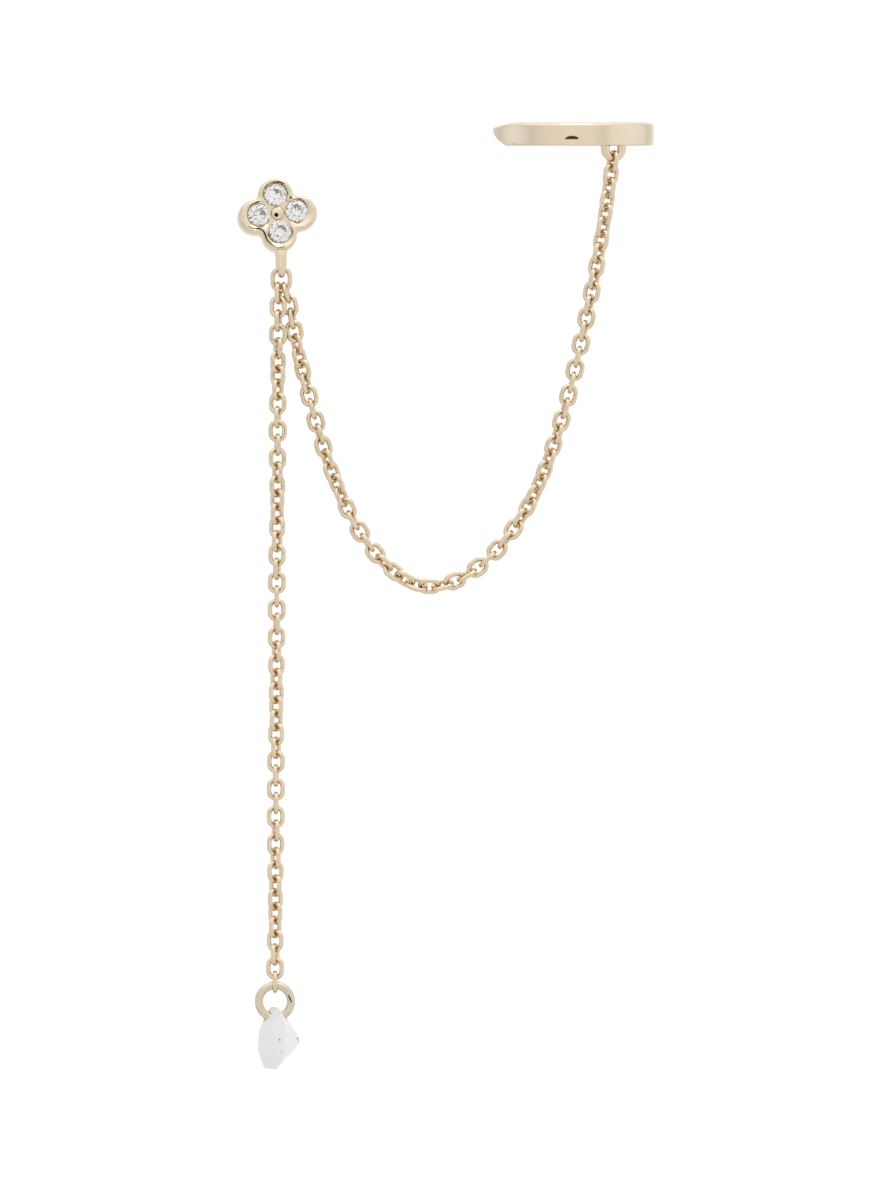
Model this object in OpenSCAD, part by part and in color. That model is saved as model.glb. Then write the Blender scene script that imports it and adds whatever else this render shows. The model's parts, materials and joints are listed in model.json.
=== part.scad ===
// Ear chain earring: a quatrefoil stud, a straight drop strand with a drilled pear-cut stone,
// and a second strand that hangs in a deep curve to an open ear cuff.
// Origin: centre of the stud's back face, where it sits on the ear lobe. +Z up, +Y into the lobe.

/* [Stud setting] */
// Diameter of each round stone
stone_d = 1.7; // [1.3:0.05:2.2]
// Diameter of the polished bead between the stones
bead_d = 1; // [0.7:0.05:1.3]
// Clearance between a stone and the metal
stone_gap = 0.05; // [0.03:0.01:0.08]
// Width of the rim at the tip of a lobe
rim_w = 0.72; // [0.6:0.02:0.9]
// Width of the rim beside a stone
rim_side_w = 0.53; // [0.45:0.01:0.6]
// Height of the rim's outline as a share of its width
rim_squash = 0.93; // [0.9:0.01:1]
// Fillet in the outer notch between two lobes
notch_r = 0.35; // [0.25:0.05:0.6]
// Fillet in the inner notch between two stones
well_notch_r = 0.25; // [0.2:0.01:0.35]
// Height of the rim's crest over the back face
setting_t = 1.6; // [1.5:0.05:2]
// Depth of the stones' girdles below the crest
girdle_drop = 0.3; // [0.2:0.02:0.4]
// Depth of the well's floor below the crest
well_depth = 0.62; // [0.55:0.01:0.7]
// Depth of the bead's top below the crest
bead_drop = 0.15; // [0.1:0.01:0.2]
// Diameter of the small grains that hold the stones
grain_d = 0.24; // [0.2:0.01:0.28]
// Depth of the grains' tops below the crest
grain_drop = 0.2; // [0.1:0.01:0.25]

/* [Stud pose] */
// Roll of the four lobes, anticlockwise as seen from the front
stud_roll = 5; // [0:1:12]
// Turn of the stud's face to the right
stud_yaw = 6; // [0:1:12]
// Tilt of the stud's face upwards
stud_pitch = 8; // [0:1:15]

/* [Ear post] */
// Diameter of the ear post
post_d = 0.8; // [0.7:0.05:1]
// Length of the post's straight wall behind the stud
post_len = 9; // [8:0.5:12]

/* [Bail] */
// Width of the bail's strap, seen from the front
bail_w = 0.75; // [0.6:0.05:0.9]
// Thickness of the bail's strap
bail_t = 0.42; // [0.34:0.02:0.5]
// Size of the bail from front to back
bail_depth = 1.44; // [1.4:0.02:1.5]
// Height of the bail's middle over the back face
bail_h = 0.75; // [0.75:0.01:0.85]
// How far the bail reaches below the lowest lobe
bail_drop = 1.92; // [1.6:0.02:2.2]

/* [Jump rings] */
// Outer width of the oval jump ring in the bail
top_ring_w = 1.64; // [1.6:0.02:1.9]
// Outer height of the oval jump ring in the bail
top_ring_h = 2.02; // [1.9:0.02:2.2]
// Wire of the oval jump ring
top_ring_wire = 0.36; // [0.3:0.02:0.38]
// Outer diameter of the jump ring in the drop stone
drop_ring_d = 3; // [2.8:0.05:3.4]
// Wire of the jump ring in the drop stone
drop_ring_wire = 0.58; // [0.4:0.02:0.6]
// Clearance between the bail and the bend of the jump ring
bail_gap = 0.13; // [0.12:0.01:0.14]
// Clearance where a ring or loop holds the next piece
hook_gap = 0.06; // [0.04:0.01:0.08]

/* [Cable chain] */
// Outer length of a link
link_len = 1.81; // [1.76:0.01:1.9]
// Outer width of a link
link_w = 1.35; // [1.3:0.01:1.5]
// Wire of a link
link_wire = 0.32; // [0.26:0.01:0.33]
// Clearance between two links of the taut drop strand
link_gap = 0.15; // [0.12:0.01:0.16]
// More clearance between two links of the slack linking strand
strand_slack = 0.04; // [0.02:0.005:0.06]
// Number of links in the drop strand
drop_links = 51; // [31:1:71]
// Lean of the drop strand off plumb, to the left
drop_lean = 0.27; // [0:0.01:1]
// How far the linking strand sags below the line between its ends
strand_sag = 27; // [22:0.5:32]
// Distance, front to back, between the two strands
strand_part = 0.6; // [0.56:0.02:0.7]

/* [Ear cuff] */
// Outer diameter of the cuff
cuff_d = 12.26; // [11:0.1:14]
// Height of the cuff's band
cuff_h = 1.76; // [1.5:0.05:2.2]
// Thickness of the cuff's band
cuff_t = 1; // [0.9:0.05:1.2]
// Rounding of the band's outer edges
cuff_edge_r = 0.4; // [0.3:0.02:0.45]
// Rounding of the band's inner edges
cuff_inner_r = 0.2; // [0.1:0.02:0.3]
// Angle of the opening between the arms' tips
cuff_tip_angle = 35; // [25:1:45]
// Angle of the opening along the band's lower edge
cuff_foot_angle = 70; // [60:1:80]
// Angle over which the upper edge slopes down to the tips
cuff_slope_angle = 104; // [90:1:120]
// How far the cuff's centre stands to the right of the stud
cuff_x = 21.9; // [18:0.1:26]
// How far the cuff's centre stands above the stud
cuff_z = 6.15; // [3:0.05:10]
// Wire of the loop under the cuff
loop_wire = 0.56; // [0.5:0.02:0.6]
// Hole of the loop under the cuff
loop_hole = 1.06; // [0.9:0.02:1.2]
// How far the loop's centre hangs below the band
loop_drop = 0.12; // [0.05:0.01:0.2]
// Place of the loop round the band, from the front to the right
loop_angle = 33; // [0:1:40]

/* [Drop stone] */
// Width of the pear-cut stone
pear_w = 3.3; // [3:0.1:4]
// Length of the pear-cut stone
pear_l = 4.6; // [4.2:0.1:5.2]
// Depth of the stone from its girdle to its culet
pear_depth = 2.6; // [2:0.05:2.8]
// Depth of the stone from its girdle to its table
pear_crown = 0.5; // [0.4:0.02:0.6]
// Thickness of the stone's girdle
pear_girdle = 0.12; // [0.08:0.01:0.16]
// Diameter of the hole drilled through the stone's tip
drill_d = 0.9; // [0.88:0.01:0.96]
// Distance from the stone's tip to the ring's wire
drill_depth = 0.78; // [0.74:0.01:0.9]
// Turn of the stone's table away from the front, to the left
pear_turn = 52; // [35:1:60]
// Lean of the stone on its ring, foot to the left
pear_lean = 4; // [0:1:8]

/* [Hidden] */
$fn = 64;

gold = [0.87, 0.77, 0.60];
clear = [0.90, 0.93, 0.93];

// Overlap that lets two solids of one piece join, or a cutter run past a face
bite = 0.2;
cut = 0.01;
// Clearance between a stone's girdle and the wall of its well, and more room for the grains
wall_gap = 0.07;
grain_shift = 0.03;
// A share of the stone's radius each, from the table to the culet
crown_share = 0.32;
pavilion_share = 0.86;
// Points round the rim of the setting, and round a stone
rim_points = 56;
stone_points = 16;
// Pieces of a link's bend, and sides of its wire
bend_pieces = 5;
wire_sides = 5;
// Samples of the linking strand's curve between two of its points
curve_steps = 12;

// Places on the setting, seen face up: x to the right, y up the ear, z out of the face
stone_r = stone_d / 2;
stone_at = bead_d / 2 + stone_gap + stone_r;
lobe_tip = stone_at + stone_r + rim_w;
lobe_r = stone_r + rim_side_w;
lobe_at = lobe_tip - lobe_r;
well_r = stone_r + wall_gap;
girdle_h = setting_t - girdle_drop;
floor_h = setting_t - well_depth;
pavilion_h = stone_r * pavilion_share;
grain_reach = stone_r + grain_d / 2 + stone_gap;
grain_at = (stone_at + sqrt(2 * grain_reach * grain_reach - stone_at * stone_at)) / sqrt(2) + grain_shift;

// Section across the rim: share of the way in from the outline, share of the crest's height
outer_rows = [[0.10, 0], [0, 0.10], [0, 0.50], [0.08, 0.74], [0.24, 0.92]];
// Section down into the well: share of the way in, share of the well's depth
inner_rows = [[0.46, 0], [0.72, 0.06], [0.90, 0.28], [1, 0.60], [1, 1]];

// Radius of a four-lobed outline in one direction: lobes on the axes, filleted notches between
function lobed_r(angle, at, r, fillet) =
    let (
        from_lobe = abs((angle + 45) % 90 - 45),
        from_notch = 45 - from_lobe,
        side = (at + sqrt(2 * pow(r + fillet, 2) - at * at)) / 2,
        touch = [at + r * (side - at) / (r + fillet), r * side / (r + fillet)],
        notch_at = side * sqrt(2)
    )
    from_lobe <= atan2(touch.y, touch.x)
        ? at * cos(from_lobe) + sqrt(r * r - pow(at * sin(from_lobe), 2))
        : notch_at * cos(from_notch) - sqrt(fillet * fillet - pow(notch_at * sin(from_notch), 2));

// One ring of points round the rim, at a share of the way from the outline to the well
function rim_ring(share, height) = [
    for (j = [0:rim_points - 1])
        let (
            angle = 360 * j / rim_points,
            way = [cos(angle), sin(angle)],
            outer = lobed_r(angle, lobe_at, lobe_r, notch_r) * [way.x, way.y * rim_squash],
            inner = lobed_r(angle, stone_at, well_r, well_notch_r) * way,
            p = outer + share * (inner - outer)
        )
        [p.x, p.y, height]
];

// Faces of a band between two rings of n points, the lower ring first
function band(low, high, n) = [
    for (j = [0:n - 1], half = [0, 1])
        let (next = (j + 1) % n)
        half == 0 ? [low + j, high + j, high + next] : [low + j, high + next, low + next]
];

// A closed skin over rings that run from the bottom to the top, with a middle point at each end
module skin(rings, bottom, top) {
    n = len(rings[0]);
    last = (len(rings) - 1) * n;
    centre = len(rings) * n;
    sides = [for (i = [0:len(rings) - 2]) each band(i * n, (i + 1) * n, n)];
    bottom_cap = [for (j = [0:n - 1]) [centre, j, (j + 1) % n]];
    top_cap = [for (j = [0:n - 1]) [centre + 1, last + (j + 1) % n, last + j]];
    polyhedron(
        points = concat([for (ring = rings) each ring], [bottom, top]),
        faces = concat(bottom_cap, sides, top_cap)
    );
}

// From the face-up layout to the stud's pose on the ear
module at_stud() {
    rotate([90 - stud_pitch, 0, stud_yaw]) children();
}

function turn_x(p, a) = [p.x, p.y * cos(a) - p.z * sin(a), p.y * sin(a) + p.z * cos(a)];
function turn_z(p, a) = [p.x * cos(a) - p.y * sin(a), p.x * sin(a) + p.y * cos(a), p.z];
function stud_point(p) = turn_z(turn_x(p, 90 - stud_pitch), stud_yaw);

module rim_body() {
    rows = concat(
        [for (row = outer_rows) [row[0], row[1] * setting_t]],
        [for (row = inner_rows) [row[0], setting_t - row[1] * well_depth]]
    );
    skin([for (row = rows) rim_ring(row[0], row[1])], [0, 0, 0], [0, 0, floor_h]);
}

// Conical seat that clears a stone's pavilion all round
module stone_seat() {
    slope = stone_r / pavilion_h;
    seat_r = slope * (floor_h - girdle_h + pavilion_h) + stone_gap;
    seat_h = seat_r / slope;
    translate([stone_at, 0, floor_h - seat_h])
        cylinder(h = seat_h + cut, r1 = 0, r2 = seat_r + cut * slope);
}

module grain() {
    top = setting_t - grain_drop - grain_d / 2;
    translate([grain_at, 0, floor_h - bite]) cylinder(h = top - floor_h + bite, d = grain_d);
    translate([grain_at, 0, top]) sphere(d = grain_d);
}

// Strap section: flat in the middle, round at both edges
module strap_section() {
    square([bail_w - bail_t, bail_t], center = true);
    for (side = [-1, 1]) translate([side * (bail_w - bail_t) / 2, 0]) circle(d = bail_t);
}

// Bend and legs of the bail: it hangs plumb from the lowest lobe, its legs run into the rim
leg_share = 0.55;
bail_r = (bail_depth - bail_t) / 2;
lobe_foot = lobe_tip * rim_squash;
bail_top = [lobe_foot * sin(stud_roll), -lobe_foot * cos(stud_roll), bail_h];
bail_bend = bail_top - [0, bail_drop - bail_depth / 2, 0];
bail_leg = bail_drop - bail_depth / 2 + leg_share * rim_w;

module bail() {
    translate(bail_bend) {
        rotate([0, 90, 0]) rotate([0, 0, 180])
            rotate_extrude(angle = 180) translate([bail_r, 0]) rotate(90) strap_section();
        for (side = [-1, 1])
            translate([0, 0, side * bail_r]) rotate([-90, 0, 0])
                linear_extrude(height = bail_leg) strap_section();
    }
}

module ear_post() {
    translate([0, 0, -post_len]) cylinder(h = post_len + bite, d = post_d);
    translate([0, 0, -post_len]) sphere(d = post_d);
}

module stud_setting() {
    color(gold) at_stud() {
        rotate(stud_roll) {
            difference() {
                rim_body();
                for (quarter = [0:3]) rotate(90 * quarter) stone_seat();
            }
            translate([0, 0, setting_t - bead_drop - bead_d / 2]) sphere(d = bead_d);
            for (quarter = [0:3]) rotate(45 + 90 * quarter) grain();
        }
        bail();
        ear_post();
    }
}

// Rows of a brilliant: radius at the main facets, radius between them, share of crown or pavilion
crown_rows = [[1, 1, 0.08], [0.80, 0.76, 0.60], [0.56, 0.52, 1]];
pavilion_rows = [[0.41, 0.37, 0.60], [1, 1, 0]];

function brilliant_ring(row, height) = [
    for (j = [0:stone_points - 1])
        let (
            angle = 360 * j / stone_points,
            r = stone_r * row[j % 2]
        )
        [r * cos(angle), r * sin(angle), height]
];

// A round brilliant with its girdle at height 0, culet down
module brilliant() {
    crown_h = stone_r * crown_share;
    rings = concat(
        [for (row = pavilion_rows) brilliant_ring(row, -row[2] * pavilion_h)],
        [for (row = crown_rows) brilliant_ring(row, row[2] * crown_h)]
    );
    skin(rings, [0, 0, -pavilion_h], [0, 0, crown_h]);
}

module round_stone(angle) {
    color(clear) at_stud() rotate(stud_roll + angle) translate([stone_at, 0, girdle_h]) brilliant();
}

module stone_top() { round_stone(90); }
module stone_left() { round_stone(180); }
module stone_right() { round_stone(0); }
module stone_bottom() { round_stone(270); }

// The oval jump ring hangs face to the front, its top wire in the bail
top_ring_r = top_ring_wire / 2;
top_ring_bend = (top_ring_w - top_ring_wire) / 2;
top_ring_side = top_ring_h - top_ring_w;
bail_low = stud_point(bail_bend - [0, bail_r, 0]);
top_ring_at = bail_low
    + [0, 0, bail_t / 2 + bail_gap + top_ring_r - top_ring_side / 2 - top_ring_bend];

module top_ring() {
    color(gold) translate(top_ring_at) rotate([90, 0, 0]) {
        for (end = [0, 1])
            rotate(180 * end) translate([0, top_ring_side / 2])
                rotate_extrude(angle = 180) translate([top_ring_bend, 0]) circle(r = top_ring_r);
        for (side = [-1, 1])
            translate([side * top_ring_bend, -top_ring_side / 2, 0])
                rotate([-90, 0, 0]) cylinder(h = top_ring_side, r = top_ring_r);
    }
}

// A chain is laid out by the points where each two of its links meet
link_pitch = link_len - 2 * link_wire - link_gap;

function unit(v) = v / norm(v);

// Wire of one link: centre, direction, roll from face-on
function link_points(centre, along, roll) =
    let (
        flat = unit(cross(along, [0, 1, 0])),
        deep = cross(flat, along),
        wide = cos(roll) * flat + sin(roll) * deep,
        side = cross(along, wide),
        bend_r = (link_w - link_wire) / 2,
        end_at = (link_len - link_w) / 2
    )
    [
        for (end = [0, 1], j = [0:bend_pieces], k = [0:wire_sides - 1])
            let (
                a = 180 * (end + j / bend_pieces),
                out = cos(a) * wide + sin(a) * along,
                turn = 360 * k / wire_sides,
                middle = centre + (1 - 2 * end) * end_at * along + bend_r * out
            )
            middle + link_wire / 2 * (cos(turn) * out + sin(turn) * side)
    ];

ring_count = 2 * (bend_pieces + 1);
link_size = ring_count * wire_sides;

// All the links of one chain, each a closed solid of its own
module chain(joints, rolls) {
    count = len(joints) - 1;
    points = [
        for (i = [0:count - 1])
            each link_points(
                (joints[i] + joints[i + 1]) / 2,
                unit(joints[i + 1] - joints[i]),
                rolls[i]
            )
    ];
    faces = [
        for (i = [0:count - 1], j = [0:ring_count - 1])
            each band(
                i * link_size + j * wire_sides,
                i * link_size + (j + 1) % ring_count * wire_sides,
                wire_sides
            )
    ];
    polyhedron(points = points, faces = faces);
}

// Each link is a quarter turn from the last, and the whole chain twists slowly besides. The
// twist ends at the table's last angle, or the nearest that lets the last link hold its ring.
function chain_rolls(count, twist_rows, last_roll) =
    let (
        full = twist_rows[len(twist_rows) - 1][1],
        fitting = last_roll - 90 * count,
        twist = fitting + 180 * round((full - fitting) / 180)
    )
    [for (i = [0:count - 1]) 90 * (i + 1) + lookup(i / (count - 1), twist_rows) * twist / full];

// Point on the lower bend of the oval jump ring, and the way in from there
function ring_foot(angle) = top_ring_at
    + [top_ring_bend * sin(angle), 0, -top_ring_side / 2 - top_ring_bend * cos(angle)];
function ring_inward(angle) = [-sin(angle), 0, cos(angle)];

// Where the first two links of a strand on the jump ring meet the curve of that strand
hook_reach = link_wire / 2 + hook_gap;
function strand_start(angle, play) = ring_foot(angle)
    + ring_inward(angle) * (top_ring_r + hook_reach) - [0, 0, (link_wire + play) / 2];

// The strands part, one to the front and one to the back, over their first two links
part_first = 0.3;
part_links = 1.6;
function part_share(s) =
    let (t = min(1, s / (part_links * link_pitch)))
    part_first + (1 - part_first) * t * t * (3 - 2 * t);

// Drop strand: nearly plumb, hooked on the jump ring left of its foot
drop_hook_angle = -73;
drop_twist_rows = [[0, -11], [0.02, -22], [0.04, -12], [0.11, 45], [0.20, 90], [0.30, 135],
    [0.44, 180], [0.60, 225], [0.72, 270], [0.90, 315], [1, 360]];
drop_start = strand_start(drop_hook_angle, link_gap);
drop_way = [-sin(drop_lean), 0, -cos(drop_lean)];

function drop_point(s) = drop_start + s * drop_way - [0, strand_part / 2 * part_share(s), 0];

module drop_chain() {
    joints = [for (i = [0:drop_links]) drop_point(i * link_pitch)];
    color(gold) chain(joints, chain_rolls(drop_links, drop_twist_rows, 90));
}

// Drop ring: face to the front, its top wire in the last link of the drop strand
drop_ring_r = drop_ring_wire / 2;
drop_ring_bend = (drop_ring_d - drop_ring_wire) / 2;
drop_hinge = drop_point(drop_links * link_pitch)
    + [0, 0, drop_ring_r + hook_reach - (link_wire + link_gap) / 2];
drop_ring_at = drop_hinge - [0, 0, drop_ring_bend];

module drop_ring() {
    color(gold) translate(drop_ring_at) rotate([90, 0, 0])
        rotate_extrude() translate([drop_ring_bend, 0]) circle(r = drop_ring_r);
}

// Pear outline from the tip down: share of the length, share of the half width
pear_rows = [[0, 0.22], [0.07, 0.46], [0.21, 0.77], [0.37, 0.94], [0.57, 1], [0.74, 0.95],
    [0.88, 0.74], [1, 0.40]];
// Facet rows: size and depth as shares of the outline and of the crown or pavilion
pear_crown_rows = [[1, 0], [0.84, 0.62], [0.62, 1]];
pear_pavilion_rows = [[0.48, 0.58], [1, 0]];
// Height of the culet, and place of the hole across the stone, as shares of length and depth
culet_share = 0.52;
drill_share = 0.03;

// Outline of the pear about the culet: x across, y up
pear_half = [for (row = pear_rows) [row[1] * pear_w / 2, (culet_share - row[0]) * pear_l]];
pear_outline = concat(
    [for (i = [len(pear_half) - 1:-1:0]) pear_half[i]],
    [for (p = pear_half) [-p.x, p.y]]
);
function pear_ring(share, height) = [for (p = pear_outline) [share * p.x, share * p.y, height]];

// The pear-cut stone, table up, with its culet under the origin
module pear() {
    rings = concat(
        [for (row = pear_pavilion_rows) pear_ring(row[0], -pear_girdle / 2 - row[1] * pear_depth)],
        [for (row = pear_crown_rows) pear_ring(row[0], pear_girdle / 2 + row[1] * pear_crown)]
    );
    skin(rings, [0, 0, -pear_girdle / 2 - pear_depth], [0, 0, pear_girdle / 2 + pear_crown]);
}

// The ring's wire bends up as it runs through the stone, so it lies low in the hole
drill_play = 0.03;
drill_up = (drill_d - drop_ring_wire) / 2 - drill_play;

module drop_stone() {
    wire_up = culet_share * pear_l - drill_depth;
    color(clear) translate(drop_ring_at - [0, 0, drop_ring_bend]) difference() {
        rotate([0, pear_lean, 0]) rotate([90, 0, -pear_turn])
            translate([0, -wire_up, drill_share * pear_depth]) pear();
        translate([0, 0, drill_up]) rotate([0, 90, 0])
            cylinder(h = pear_w * 2, d = drill_d, center = true);
    }
}

// Ear cuff: the loop under its band hangs in the plane of the linking strand
cuff_r = cuff_d / 2;
band_r = cuff_r - cuff_t / 2;
loop_r = loop_wire / 2;
loop_bend = (loop_hole + loop_wire) / 2;
loop_x = cuff_x + band_r * sin(loop_angle);
loop_y = top_ring_at.y + strand_part / 2;
loop_z = cuff_z - cuff_h / 2 - loop_drop;
cuff_at = [cuff_x, loop_y + band_r * cos(loop_angle), cuff_z];

module band_section() {
    inner = cuff_r - cuff_t;
    translate([inner, cuff_inner_r - cuff_h / 2]) square([cuff_t / 2, cuff_h - 2 * cuff_inner_r]);
    translate([band_r, cuff_edge_r - cuff_h / 2]) square([cuff_t / 2, cuff_h - 2 * cuff_edge_r]);
    translate([inner + cuff_inner_r, -cuff_h / 2]) square([cuff_t - cuff_inner_r - cuff_edge_r, cuff_h]);
    for (side = [-1, 1]) {
        translate([inner + cuff_inner_r, side * (cuff_h / 2 - cuff_inner_r)]) circle(r = cuff_inner_r);
        translate([cuff_r - cuff_edge_r, side * (cuff_h / 2 - cuff_edge_r)]) circle(r = cuff_edge_r);
    }
}

// Edge of the opening: share of the way from one opening angle to the next, share of half the height
opening_rows = [[cuff_foot_angle, -1], [cuff_tip_angle, 0.21], [cuff_tip_angle + 2, 0.50],
    [cuff_tip_angle + 8, 0.68], [cuff_slope_angle, 1]];

module cuff_opening() {
    half = [for (row = opening_rows) [cuff_r * sin(row[0] / 2), row[1] * cuff_h / 2]];
    above = [half[len(half) - 1].x, cuff_h];
    below = [half[0].x, -cuff_h];
    right = concat([below], half, [above]);
    left = [for (i = [len(right) - 1:-1:0]) [-right[i].x, right[i].y]];
    translate([-2 * cuff_r, 0, 0]) rotate([90, 0, 90])
        linear_extrude(height = 2 * cuff_r) polygon(concat(right, left));
}

module ear_cuff() {
    color(gold) {
        translate(cuff_at) difference() {
            rotate_extrude() band_section();
            cuff_opening();
        }
        translate([loop_x, loop_y, loop_z]) rotate([90, 0, loop_angle])
            rotate_extrude() translate([loop_bend, 0]) circle(r = loop_r);
    }
}

// Linking strand: chosen points of its curve, as the share of the way across to the cuff and
// the share of the sag below the straight line between its two ends
link_route = [[0, 0], [0.015, 0.050], [0.028, 0.125], [0.044, 0.204], [0.064, 0.285], [0.085, 0.366],
    [0.119, 0.486], [0.160, 0.604], [0.211, 0.721], [0.282, 0.840], [0.342, 0.913], [0.409, 0.968],
    [0.445, 0.984], [0.481, 0.993], [0.516, 0.995], [0.550, 0.992], [0.613, 0.973], [0.692, 0.921],
    [0.755, 0.849], [0.816, 0.735], [0.862, 0.614], [0.899, 0.489], [0.932, 0.360], [0.955, 0.258],
    [0.975, 0.153], [1, 0]];
link_hook_angle = 76;
link_twist_rows = [[0, -7], [0.016, -28], [0.032, -14], [0.075, 45], [0.15, 90], [0.24, 135],
    [0.30, 180], [0.39, 225], [0.49, 270], [0.595, 315], [0.74, 360], [0.94, 405], [1, 417]];

link_play = link_gap + strand_slack;
link_start = strand_start(link_hook_angle, link_play);
link_end = [loop_x, loop_y, loop_z - loop_bend + loop_r + hook_reach - (link_wire + link_play) / 2];
route_points = [
    for (row = link_route)
        let (line = link_start + row[0] * (link_end - link_start))
        [line.x, line.z - row[1] * strand_sag]
];

// A smooth curve through the points, with as many samples between each two
function spacing(p, i) = norm(p[i + 1] - p[i]);
function slope_at(p, i) =
    i == 0 ? (p[1] - p[0]) / spacing(p, 0)
    : i == len(p) - 1 ? (p[i] - p[i - 1]) / spacing(p, i - 1)
    : let (before = spacing(p, i - 1), after = spacing(p, i))
        ((p[i] - p[i - 1]) * after / before + (p[i + 1] - p[i]) * before / after) / (before + after);
function hermite(p, i, t) =
    let (size = spacing(p, i))
    (2 * t * t * t - 3 * t * t + 1) * p[i]
        + (t * t * t - 2 * t * t + t) * size * slope_at(p, i)
        + (3 * t * t - 2 * t * t * t) * p[i + 1]
        + (t * t * t - t * t) * size * slope_at(p, i + 1);
curve = concat(
    [for (i = [0:len(route_points) - 2], j = [0:curve_steps - 1]) hermite(route_points, i, j / curve_steps)],
    [route_points[len(route_points) - 1]]
);
curve_lengths = [
    for (i = 0, s = 0; i < len(curve); s = s + (i + 1 < len(curve) ? spacing(curve, i) : 0), i = i + 1) s
];
across_rows = [for (i = [0:len(curve) - 1]) [curve_lengths[i], curve[i].x]];
height_rows = [for (i = [0:len(curve) - 1]) [curve_lengths[i], curve[i].y]];
route_length = curve_lengths[len(curve) - 1];
link_count = round(route_length / (link_pitch - strand_slack));

function link_point(s) = [
    lookup(s, across_rows),
    top_ring_at.y + strand_part / 2 * part_share(s),
    lookup(s, height_rows)
];

module link_chain() {
    joints = [for (i = [0:link_count]) link_point(route_length * i / link_count)];
    color(gold) chain(joints, chain_rolls(link_count, link_twist_rows, 90 - loop_angle));
}

stud_setting();
stone_top();
stone_left();
stone_right();
stone_bottom();
top_ring();
drop_chain();
link_chain();
ear_cuff();
drop_ring();
drop_stone();
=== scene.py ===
"""Looks of the ear chain earring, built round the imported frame.

Shapes are worked out in millimetres in the frame's axes and turned into metres when a piece is made.
"""

import json
import math

import bmesh
import bpy
import numpy as np
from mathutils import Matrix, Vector


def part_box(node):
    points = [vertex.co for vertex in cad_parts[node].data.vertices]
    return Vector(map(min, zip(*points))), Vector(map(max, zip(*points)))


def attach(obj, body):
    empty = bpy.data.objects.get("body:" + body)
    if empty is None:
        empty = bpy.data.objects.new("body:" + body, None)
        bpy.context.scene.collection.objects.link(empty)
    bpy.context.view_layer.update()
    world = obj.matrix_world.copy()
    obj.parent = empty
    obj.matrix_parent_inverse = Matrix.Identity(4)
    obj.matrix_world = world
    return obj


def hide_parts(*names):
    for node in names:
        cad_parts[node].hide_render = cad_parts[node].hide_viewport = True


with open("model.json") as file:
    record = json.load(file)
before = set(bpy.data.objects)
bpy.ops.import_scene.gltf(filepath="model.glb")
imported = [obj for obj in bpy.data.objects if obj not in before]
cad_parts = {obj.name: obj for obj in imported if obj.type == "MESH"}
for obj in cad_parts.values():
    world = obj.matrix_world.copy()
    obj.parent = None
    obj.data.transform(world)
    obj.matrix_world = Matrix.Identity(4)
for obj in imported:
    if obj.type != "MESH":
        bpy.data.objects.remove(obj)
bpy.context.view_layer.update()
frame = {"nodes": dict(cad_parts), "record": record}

MM = 0.001

# Photograph: its size, its scale, and the pixel where the frame's origin lies
PHOTO_W = 892
PHOTO_H = 1189
PIXELS_PER_MM = 13.5
ORIGIN_PIXEL = (276.3, 217.0)

# Camera: how far in front of the part it stands, and how far above the photograph's middle
CAMERA_BACK = 2500
CAMERA_RAISE = 35

# Stud setting, in its own face-up layout
STUD_ROLL = 5
STONE_D = 1.7
BEAD_D = 1.0
STONE_GAP = 0.05
RIM_W = 0.72
RIM_SIDE_W = 0.53
RIM_SQUASH = 0.93
NOTCH_R = 0.35
WELL_NOTCH_R = 0.25
SETTING_T = 1.6
GIRDLE_DROP = 0.3
WELL_DEPTH = 0.4
WELL_TURN = 1.3
BEAD_DROP = 0.15
GRAIN_D = 0.24
GRAIN_DROP = 0.2
GRAIN_SHIFT = 0.03
CROWN_SHARE = 0.32
PAVILION_SHARE = 0.86

# Post and bail
POST_D = 0.8
POST_LEN = 9.0
POST_FILLET = 0.22
BAIL_W = 0.74
BAIL_T = 0.42
BAIL_DEPTH = 1.44
BAIL_H = 0.75
BAIL_DROP = 1.92
BAIL_LEG_SHARE = 0.55
# How the strap narrows from above its bend, and how its front leg dips and widens under the rim
BAIL_TAPER = 0.3
BAIL_TAPER_FROM = 0.35
BAIL_DIP = 0.04
BAIL_DIP_LEN = 0.45
BAIL_FLARE = 0.16
BAIL_FLARE_END = 1.6

# Jump rings
TOP_RING_W = 1.64
TOP_RING_H = 2.02
TOP_RING_WIRE = 0.36
DROP_RING_D = 3.0
DROP_RING_WIRE = 0.62

# Cable links, drawn as long as the pitch that their wire allows
LINK_WIRE = 0.36
LINK_W = 1.37
LINK_LEN = 1.75

# Ear cuff
CUFF_D = 12.26
CUFF_H = 1.76
CUFF_T = 1.0
CUFF_TOP_EDGE = (0.42, 0.27)
CUFF_FOOT_EDGE = (0.10, 0.12)
CUFF_INNER_R = 0.2
CUFF_FACE_R = 6.0
TIP_ANGLE = 35
FOOT_ANGLE = 70
LOOP_WIRE = 0.56
LOOP_HOLE = 1.06
LOOP_ANGLE = 33

# Drop stone
PEAR_W = 3.3
PEAR_L = 4.6
PEAR_DEPTH = 2.6
PEAR_CROWN = 0.5
PEAR_GIRDLE = 0.12
PEAR_TURN = 52
PEAR_LEAN = 4
DRILL_D = 0.69
DRILL_DEPTH = 0.78
DRILL_RISE = 0.06
CULET_SHARE = 0.52
DRILL_SHARE = 0.03


def node_box(name):
    """Lowest and highest corners of a CAD node, in millimetres."""
    low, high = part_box(name)
    return np.array(low) / MM, np.array(high) / MM


def node_middle(name):
    """Middle of a CAD node's box, in millimetres."""
    low, high = node_box(name)
    return (low + high) / 2


def unit(v):
    """The same direction with length 1."""
    return v / np.linalg.norm(v)


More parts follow.
